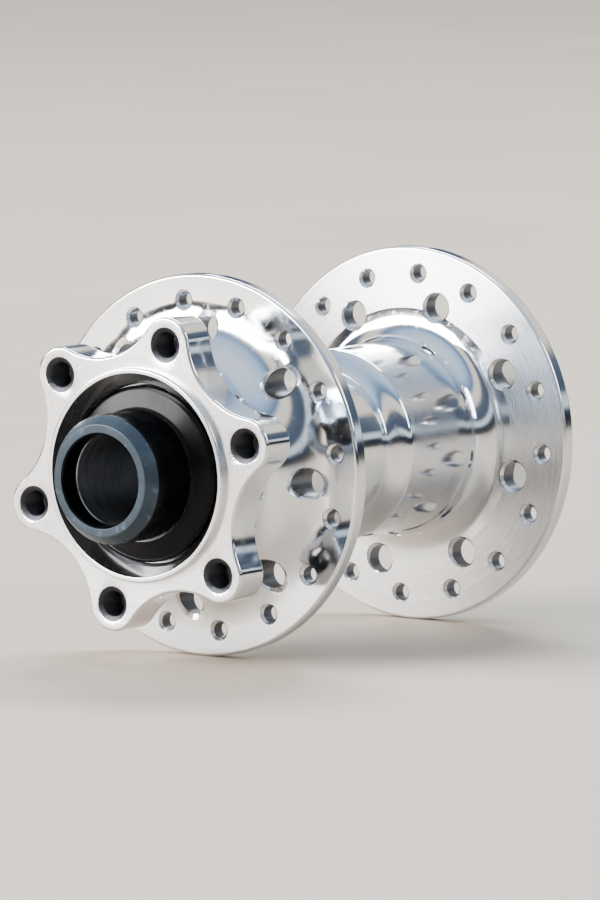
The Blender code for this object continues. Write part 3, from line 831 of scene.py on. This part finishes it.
def lobe_plate():
    """The disc mount: a flat faced front, rounded edges, and a back that sweeps down into the neck."""
    back_y = ROTOR_FACE_Y + LOBE_PLATE_THICKNESS
    bore = circle_under_outline(LOBE_PLATE_BORE_RADIUS)
    layers = [
        (bore, back_y + LOBE_SWEEP_DROP, "polished"),
        *back_layers(back_y),
        *edge_layers(back_y),
        # The plate's bore wall takes the hole walls' finish, with its painted shade.
        (bore, ROTOR_FACE_Y, "drilled_wall_shade"),
    ]
    rings = [[(across, along, up) for across, up in outline] for outline, along, _ in layers]
    finishes = [finish for _, _, finish in layers]
    return new_object("lobe_plate", ring_mesh("lobe_plate", rings, finishes))


def facing(point, normal):
    """A matrix at this point (mm) whose Z looks along the normal."""
    turn = Vector(normal).to_track_quat("Z", "Y").to_matrix().to_4x4()
    return Matrix.Translation(Vector(point) * MM) @ turn


def drill_end(hole_radius, surface_y, outward, countersunk):
    """The end of a drill's outline, out through this surface and clear of it."""
    if not countersunk:
        return [(hole_radius, surface_y + outward * DRILL_OVERRUN)]
    wide = hole_radius + COUNTERSINK
    return [(hole_radius, surface_y - outward * COUNTERSINK), (wide, surface_y),
            (wide, surface_y + outward * DRILL_OVERRUN)]


def bell_countersink(angle, circle_radius, hole_radius):
    """A short cone square to the left flange's hollow outer face."""
    inside = SPOKE_CIRCLE_RADIUS - circle_radius
    surface_y = LEFT_FLANGE_OUTER_Y - BELL_RADIUS + math.sqrt(BELL_RADIUS ** 2 - inside ** 2)
    lean = math.asin(inside / BELL_RADIUS)
    normal = around(angle, math.sin(lean), -math.cos(lean))
    wide = hole_radius + COUNTERSINK
    # The cone runs a little past the hole's wall below, and clear of the surface above.
    below, above = 0.15, 1.0
    outline = [(hole_radius - below, -COUNTERSINK - below), (wide, 0.0), (wide + above, above)]
    return facing(around(angle, circle_radius, surface_y), normal), outline


def flange_drills():
    """Spoke holes and lightening holes through both flanges, and the countersinks that lie on a slope."""
    drills, sloped = [], []
    flanges = ((LEFT_FLANGE_OUTER_Y, LEFT_SPOKE_ANGLE, -SPOKE_PITCH / 2),
               (RIGHT_FLANGE_OUTER_Y, LEFT_SPOKE_ANGLE + SPOKE_PITCH / 2, SPOKE_PITCH / 2))
    for outer_y, first_spoke, offset in flanges:
        side = math.copysign(1.0, outer_y)
        for angles, circle_radius, hole_radius in (
                (ring_angles(SPOKES_PER_FLANGE, first_spoke), SPOKE_CIRCLE_RADIUS, SPOKE_HOLE_RADIUS),
                (ring_angles(SPOKES_PER_FLANGE // 2, first_spoke + offset),
                 LIGHTENING_CIRCLE_RADIUS, LIGHTENING_HOLE_RADIUS)):
            on_bell = side < 0 and circle_radius < SPOKE_CIRCLE_RADIUS
            inner_end = drill_end(hole_radius, inner_flange_y(outer_y, circle_radius), -side, True)
            outer_end = drill_end(hole_radius, outer_y, side, not on_bell)
            outline = sorted([*inner_end, *outer_end], key=lambda point: point[1])
            for angle in angles:
                drills.append((facing(around(angle, circle_radius, 0.0), (0.0, 1.0, 0.0)), outline))
                if on_bell:
                    sloped.append(bell_countersink(angle, circle_radius, hole_radius))
    return drills, sloped


def bolt_drills():
    """Tapped holes: thread ridges, drawn as rings, between a chamfer at each end."""
    above, below = 1.0, 3.0
    valley_start, valley_end = 0.45, 0.6
    chamfer = BOLT_CHAMFER
    length = LOBE_PLATE_THICKNESS
    outline = [
        (BOLT_MAJOR_RADIUS + above + chamfer, -above),
        (BOLT_MAJOR_RADIUS + chamfer, 0.0),
        (BOLT_MINOR_RADIUS, chamfer),
    ]
    for number in range(int((length - 2 * chamfer) / BOLT_THREAD_PITCH)):
        start = chamfer + BOLT_THREAD_PITCH * number
        outline.append((BOLT_MAJOR_RADIUS, start + BOLT_THREAD_PITCH * valley_start))
        outline.append((BOLT_MAJOR_RADIUS, start + BOLT_THREAD_PITCH * valley_end))
        outline.append((BOLT_MINOR_RADIUS, start + BOLT_THREAD_PITCH))
    outline.append((BOLT_MINOR_RADIUS, length - chamfer))
    outline.append((BOLT_MAJOR_RADIUS, length))
    outline.append((BOLT_MAJOR_RADIUS, length + below))
    return [(facing(around(angle, BOLT_CIRCLE_RADIUS, ROTOR_FACE_Y), (0.0, 1.0, 0.0)), outline)
            for angle in ring_angles(LOBE_COUNT, LOBE_ANGLE)]


def make_shell():
    drills, sloped = flange_drills()
    steps = [
        (lobe_plate(), "UNION"),
        # The walls of the holes cut here take finishes whose dark colours are painted shade.
        (cutter_from("flange_drills", drills, "drilled_wall_shade", "faced"), "DIFFERENCE"),
        (cutter_from("bell_countersinks", sloped, "faced", "faced"), "DIFFERENCE"),
        (cutter_from("bolt_taps", bolt_drills(), "tapped_wall_shade", "tapped_wall_shade"), "DIFFERENCE"),
    ]
    mesh = combine(turned("hub_shell_fine", shell_corners(), SHELL_SEGMENTS), steps, "hub_shell_fine")
    shell = show("hub_shell_fine", mesh, "hub_shell", "shell")
    # Shading leans to the largest faces, so the flat faces beside the fillets look flat.
    even = shell.modifiers.new("even_shading", "WEIGHTED_NORMAL")
    even.keep_sharp = True


# ---------------------------------------------------------------- axle and end caps


def make_axle():
    """An open tube: wide between the bearings, with a seat for a bearing and a cap at each end."""
    step = BEARING_MIDDLE - BEARING_HALF_WIDTH - SEAT_GAP
    corners = [
        corner(AXLE_SEAT_RADIUS, AXLE_HALF_LENGTH, 0.35, "axle"),
        corner(AXLE_SEAT_RADIUS, step),
        corner(AXLE_MIDDLE_RADIUS, step, 0.25),
        corner(AXLE_MIDDLE_RADIUS, -step, 0.25),
        corner(AXLE_SEAT_RADIUS, -step),
        corner(AXLE_SEAT_RADIUS, -AXLE_HALF_LENGTH, 0.35),
        corner(AXLE_BORE_RADIUS, -AXLE_HALF_LENGTH, 0.25),
        corner(AXLE_BORE_RADIUS, AXLE_HALF_LENGTH, 0.25),
    ]
    show("axle_fine", turned("axle_fine", corners), "axle", "axle")


def cap_corners():
    """The right end cap: tip, cone, bearing cover, foot, socket with its O-ring groove, and bore."""
    cover_y = CAP_FOOT_Y + CAP_FOOT_HEIGHT
    cover_top_y = cover_y + CAP_COVER_THICKNESS
    cone_top_y = cover_top_y + CAP_CONE_HEIGHT
    socket_end_y = CAP_END_Y - CAP_TIP_WALL
    groove_low = O_RING_MIDDLE - O_RING_GROOVE_WIDTH / 2
    groove_high = O_RING_MIDDLE + O_RING_GROOVE_WIDTH / 2
    return [
        # The tip's outer chamfer, and the end face from the last corner, carry a painted reflection of the
        # sky in a blue-grey colour.
        corner(CAP_TIP_RADIUS - CAP_TIP_CHAMFER_DEPTH, CAP_END_Y, 0.3, "painted_sky_reflection"),
        corner(CAP_TIP_RADIUS, CAP_END_Y - CAP_TIP_CHAMFER_LENGTH, 0.4, "black"),
        corner(CAP_TIP_RADIUS, cone_top_y - CAP_CONE_TOP_DROP, 0.9),
        corner(CAP_COVER_RADIUS - CAP_COVER_CREST_INSET, cover_top_y + CAP_COVER_CREST_RISE, 0.6),
        corner(CAP_COVER_RADIUS, cover_top_y - CAP_COVER_EDGE_DROP, 0.3),
        corner(CAP_COVER_RADIUS, cover_y, 0.2),
        corner(CAP_FOOT_RADIUS, cover_y, 0.2),
        corner(CAP_FOOT_RADIUS, CAP_FOOT_Y, 0.15),
        corner(CAP_SOCKET_RADIUS, CAP_FOOT_Y, 0.2),
        corner(CAP_SOCKET_RADIUS, groove_low, 0.08),
        corner(O_RING_GROOVE_RADIUS, groove_low, 0.1),
        corner(O_RING_GROOVE_RADIUS, groove_high, 0.1),
        corner(CAP_SOCKET_RADIUS, groove_high, 0.08),
        corner(CAP_SOCKET_RADIUS, socket_end_y, 0.15),
        corner(CAP_BORE_RADIUS, socket_end_y, 0.15),
        corner(CAP_BORE_RADIUS, CAP_END_Y - CAP_BORE_CHAMFER, 0.1),
        corner(CAP_BORE_RADIUS + CAP_BORE_CHAMFER, CAP_END_Y, 0.1, "painted_sky_reflection"),
    ]


def o_ring_corners():
    """A circle that starts at its outermost point and goes towards -Y, as an outline's outer side has to."""
    corners = []
    for cosine, sine in unit_circle(O_RING_STEPS):
        radius = O_RING_RADIUS + O_RING_SECTION_RADIUS * cosine
        corners.append(corner(radius, O_RING_MIDDLE - O_RING_SECTION_RADIUS * sine, 0.0, "rubber"))
    return corners


def make_end_cap(side_name):
    body = side_name + "_cap"
    for node, corners, slot in ((side_name + "_end_cap", cap_corners(), "cap_anodised"),
                                (side_name + "_cap_o_ring", o_ring_corners(), "seal_rubber")):
        mesh = turned(node + "_fine", corners, mirrored=SIDES[side_name] < 0)
        show(node + "_fine", mesh, node, body)


# ---------------------------------------------------------------- bearings

# These outlines are lists of (radius, place from the bearing's middle, rounding).


def groove_corners(shoulder_radius):
    """A race's ball groove, from its +Y edge to its -Y edge, about the bearing's middle."""
    reach = shoulder_radius - BALL_CIRCLE_RADIUS
    edge = math.acos(reach / GROOVE_RADIUS)
    end = -edge if reach > 0 else math.tau - edge
    angles = [edge + (end - edge) * step / GROOVE_STEPS for step in range(GROOVE_STEPS + 1)]
    return [(BALL_CIRCLE_RADIUS + GROOVE_RADIUS * math.cos(angle), GROOVE_RADIUS * math.sin(angle), 0.0)
            for angle in angles]


def outer_race_corners():
    half = BEARING_HALF_WIDTH
    seat = half - SEAL_SEAT_DEPTH
    return [
        (OUTER_RACE_RADIUS, half, 0.35),
        (OUTER_RACE_RADIUS, -half, 0.35),
        (SEAL_SEAT_RADIUS, -half, 0.12),
        (SEAL_SEAT_RADIUS, -seat, 0.05),
        (OUTER_SHOULDER_RADIUS, -seat, 0.08),
        *reversed(groove_corners(OUTER_SHOULDER_RADIUS)),
        (OUTER_SHOULDER_RADIUS, seat, 0.08),
        (SEAL_SEAT_RADIUS, seat, 0.05),
        (SEAL_SEAT_RADIUS, half, 0.12),
    ]


def inner_race_corners():
    half = BEARING_HALF_WIDTH
    seat = half - SEAL_SEAT_DEPTH
    return [
        (SEAL_LAND_RADIUS, half, 0.15),
        (SEAL_LAND_RADIUS, seat, 0.05),
        (INNER_SHOULDER_RADIUS, seat, 0.08),
        *groove_corners(INNER_SHOULDER_RADIUS),
        (INNER_SHOULDER_RADIUS, -seat, 0.08),
        (SEAL_LAND_RADIUS, -seat, 0.05),
        (SEAL_LAND_RADIUS, -half, 0.15),
        (INNER_RACE_BORE_RADIUS, -half, 0.3),
        (INNER_RACE_BORE_RADIUS, half, 0.3),
    ]


def seal_corners(outward):
    """A rubber shield: a bead at its rim, a web with two raised rings, and a thin lip on the inner race."""
    face = SEAL_HALF_THICKNESS * outward
    top = face + SEAL_RIDGE_HEIGHT * outward
    ridges = []
    for radius in SEAL_RIDGE_RADII:
        ridges += [
            (radius + SEAL_RIDGE_HALF_FOOT, face, 0.03),
            (radius + SEAL_RIDGE_HALF_TOP, top, 0.05),
            (radius - SEAL_RIDGE_HALF_TOP, top, 0.05),
            (radius - SEAL_RIDGE_HALF_FOOT, face, 0.03),
        ]
    # The inner ridge's foot is where the web ends.
    ridges[-1] = (SEAL_WEB_INNER_RADIUS, face, 0.05)
    outline = [
        (SEAL_RIM_RADIUS, 0.8 * face, 0.08),
        (SEAL_WEB_OUTER_RADIUS, face, 0.05),
        *ridges,
        (SEAL_LIP_RADIUS, 0.2 * face, 0.04),
        (SEAL_LIP_RADIUS, -0.5 * face, 0.04),
        (SEAL_WEB_INNER_RADIUS, -face, 0.05),
        (SEAL_RIM_RADIUS, -face, 0.08),
    ]
    return outline if outward < 0 else list(reversed(outline))


def place_corners(corners, middle, finish):
    """Stand an outline drawn about a bearing's middle in its place along the axle."""
    return [corner(radius, middle + along, rounding, finish) for radius, along, rounding in corners]


def cage_pockets(name, middle):
    """One round cutter for each ball, looking outward through the cage's wall."""
    inside, outside = -1.0, 2.0
    outline = [(CAGE_POCKET_RADIUS, inside), (CAGE_POCKET_RADIUS, outside)]
    pockets = [(facing(around(angle, CAGE_INNER_RADIUS, middle), around(angle, 1.0, 0.0)), outline)
               for angle in ring_angles(BALL_COUNT)]
    return cutter_from(name, pockets, "nylon", "nylon")


def make_cage(side_name, middle):
    outline = [
        (CAGE_OUTER_RADIUS, CAGE_FRONT, 0.0),
        (CAGE_OUTER_RADIUS, CAGE_BACK, 0.2),
        (CAGE_INNER_RADIUS, CAGE_BACK, 0.2),
        (CAGE_INNER_RADIUS, CAGE_FRONT, 0.0),
    ]
    name = side_name + "_ball_cage"
    segments = BALL_COUNT * CAGE_SEGMENTS_PER_BALL
    blank = turned(name + "_fine", place_corners(outline, middle, "nylon"), segments)
    mesh = combine(blank, [(cage_pockets(name + "_pockets", middle), "DIFFERENCE")], name + "_fine")
    cage = show(name + "_fine", mesh, name, side_name + "_cage")
    bevel = cage.modifiers.new("moulded_edges", "BEVEL")
    bevel.width = CAGE_EDGE_ROUND * MM
    bevel.segments = 2
    bevel.limit_method = "ANGLE"
    bevel.angle_limit = SMOOTH_BELOW


def make_balls(side_name):
    mesh = bpy.data.meshes.new("ball_fine")
    ball = bmesh.new()
    bmesh.ops.create_icosphere(ball, subdivisions=BALL_SUBDIVISIONS, radius=BALL_RADIUS * MM)
    ball.to_mesh(mesh)
    ball.free()
    mesh.materials.append(FINISHES["ball"])
    mesh.shade_smooth()
    for node in ball_nodes(side_name):
        low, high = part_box(node)
        piece = new_object(node + "_fine", mesh)
        piece.location = (low + high) / 2
        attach(piece, side_name + "_cage")
        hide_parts(node)


def make_bearing(side_name):
    side = SIDES[side_name]
    middle = side * BEARING_MIDDLE
    for race, corners, body in (("outer_race", outer_race_corners(), "shell"),
                                ("inner_race", inner_race_corners(), "axle")):
        node = f"{side_name}_bearing_{race}"
        mesh = turned(node + "_fine", place_corners(corners, middle, "steel"))
        show(node + "_fine", mesh, node, body)
    for place, outward in (("outboard", side), ("inboard", -side)):
        node = f"{side_name}_bearing_{place}_seal"
        mesh = turned(node + "_fine", place_corners(seal_corners(outward), centre(node, "y"), "rubber"))
        show(node + "_fine", mesh, node, "shell")
    make_cage(side_name, middle)
    make_balls(side_name)


# ---------------------------------------------------------------- floor, light and camera


def direction_towards(azimuth, elevation):
    """The direction from the hub at these angles: azimuth 0 looks at the disc side from -Y, 90 is at +X."""
    across = math.radians(azimuth)
    up = math.radians(elevation)
    return Vector((math.sin(across) * math.cos(up), -math.cos(across) * math.cos(up), math.sin(up)))


def aim(thing, azimuth, elevation, distance):
    """Stand a light or a camera at this place, looking at the hub."""
    direction = direction_towards(azimuth, elevation)
    thing.location = direction * distance
    thing.rotation_euler = direction.to_track_quat("Z", "Y").to_euler()


def make_floor():
    mesh = bpy.data.meshes.new("floor")
    sheet = bmesh.new()
    bmesh.ops.create_grid(sheet, x_segments=1, y_segments=1, size=FLOOR_HALF_SIZE)
    sheet.to_mesh(mesh)
    sheet.free()
    mesh.materials.append(pale_floor())
    floor = new_object("floor", mesh)
    floor.location.z = cad_box[0].z - FLOOR_GAP


def make_sky():
    """A dim room with pale bands and a blue ceiling, so that polish has something to show."""
    world = bpy.data.worlds.new("studio")
    bpy.context.scene.world = world
    world.use_nodes = True
    tree = world.node_tree
    background = tree.nodes["Background"]
    place = tree.nodes.new("ShaderNodeTexCoord")
    height = tree.nodes.new("ShaderNodeSeparateXYZ")
    ramp = tree.nodes.new("ShaderNodeValToRGB")
    tree.links.new(place.outputs["Generated"], height.inputs["Vector"])
    tree.links.new(height.outputs["Z"], ramp.inputs["Fac"])
    tree.links.new(ramp.outputs["Color"], background.inputs["Color"])
    stops = ramp.color_ramp.elements
    # A new ramp has a stop at each end already.
    for stop, (position, colour) in zip(list(stops), (SKY_BANDS[0], SKY_BANDS[-1])):
        stop.position = position
        stop.color = (*colour, 1.0)
    for position, colour in SKY_BANDS[1:-1]:
        stops.new(position).color = (*colour, 1.0)
    background.inputs["Strength"].default_value = SKY_STRENGTH


def add_softbox(name, azimuth, elevation, distance, size, power, colour):
    """A soft light at this place round the hub, seen only in reflections and shading."""
    light = bpy.data.lights.new(name, "AREA")
    light.shape = "RECTANGLE"
    light.size, light.size_y = size
    light.energy = power
    light.color = colour
    softbox = new_object(name, light)
    aim(softbox, azimuth, elevation, distance)
    softbox.visible_camera = False


def make_lights():
    add_softbox("key", azimuth=-38.0, elevation=22.0, distance=1.6, size=(1.3, 0.8), power=46.0,
                colour=(1.0, 0.98, 0.95))
    add_softbox("fill", azimuth=100.0, elevation=30.0, distance=1.8, size=(0.5, 0.9), power=9.0,
                colour=(0.80, 0.90, 1.0))
    add_softbox("rim", azimuth=205.0, elevation=48.0, distance=1.6, size=(1.0, 0.35), power=20.0,
                colour=(0.88, 0.95, 1.0))


def make_camera():
    camera = new_object("camera", bpy.data.cameras.new("camera"))
    aim(camera, CAMERA_AZIMUTH, CAMERA_ELEVATION, CAMERA_DISTANCE)
    camera.data.lens = CAMERA_LENS
    camera.data.clip_start = CAMERA_NEAR
    camera.data.clip_end = CAMERA_FAR
    bpy.context.scene.camera = camera


def set_contrast():
    """Print the picture with firm contrast, as polished metal needs."""
    bpy.context.scene.view_settings.view_transform = "AgX"
    bpy.context.scene.view_settings.look = "AgX - Medium High Contrast"


make_camera()
set_contrast()
make_shell()
make_axle()
for side_name in SIDES:
    make_end_cap(side_name)
    make_bearing(side_name)
make_floor()
make_sky()
make_lights()
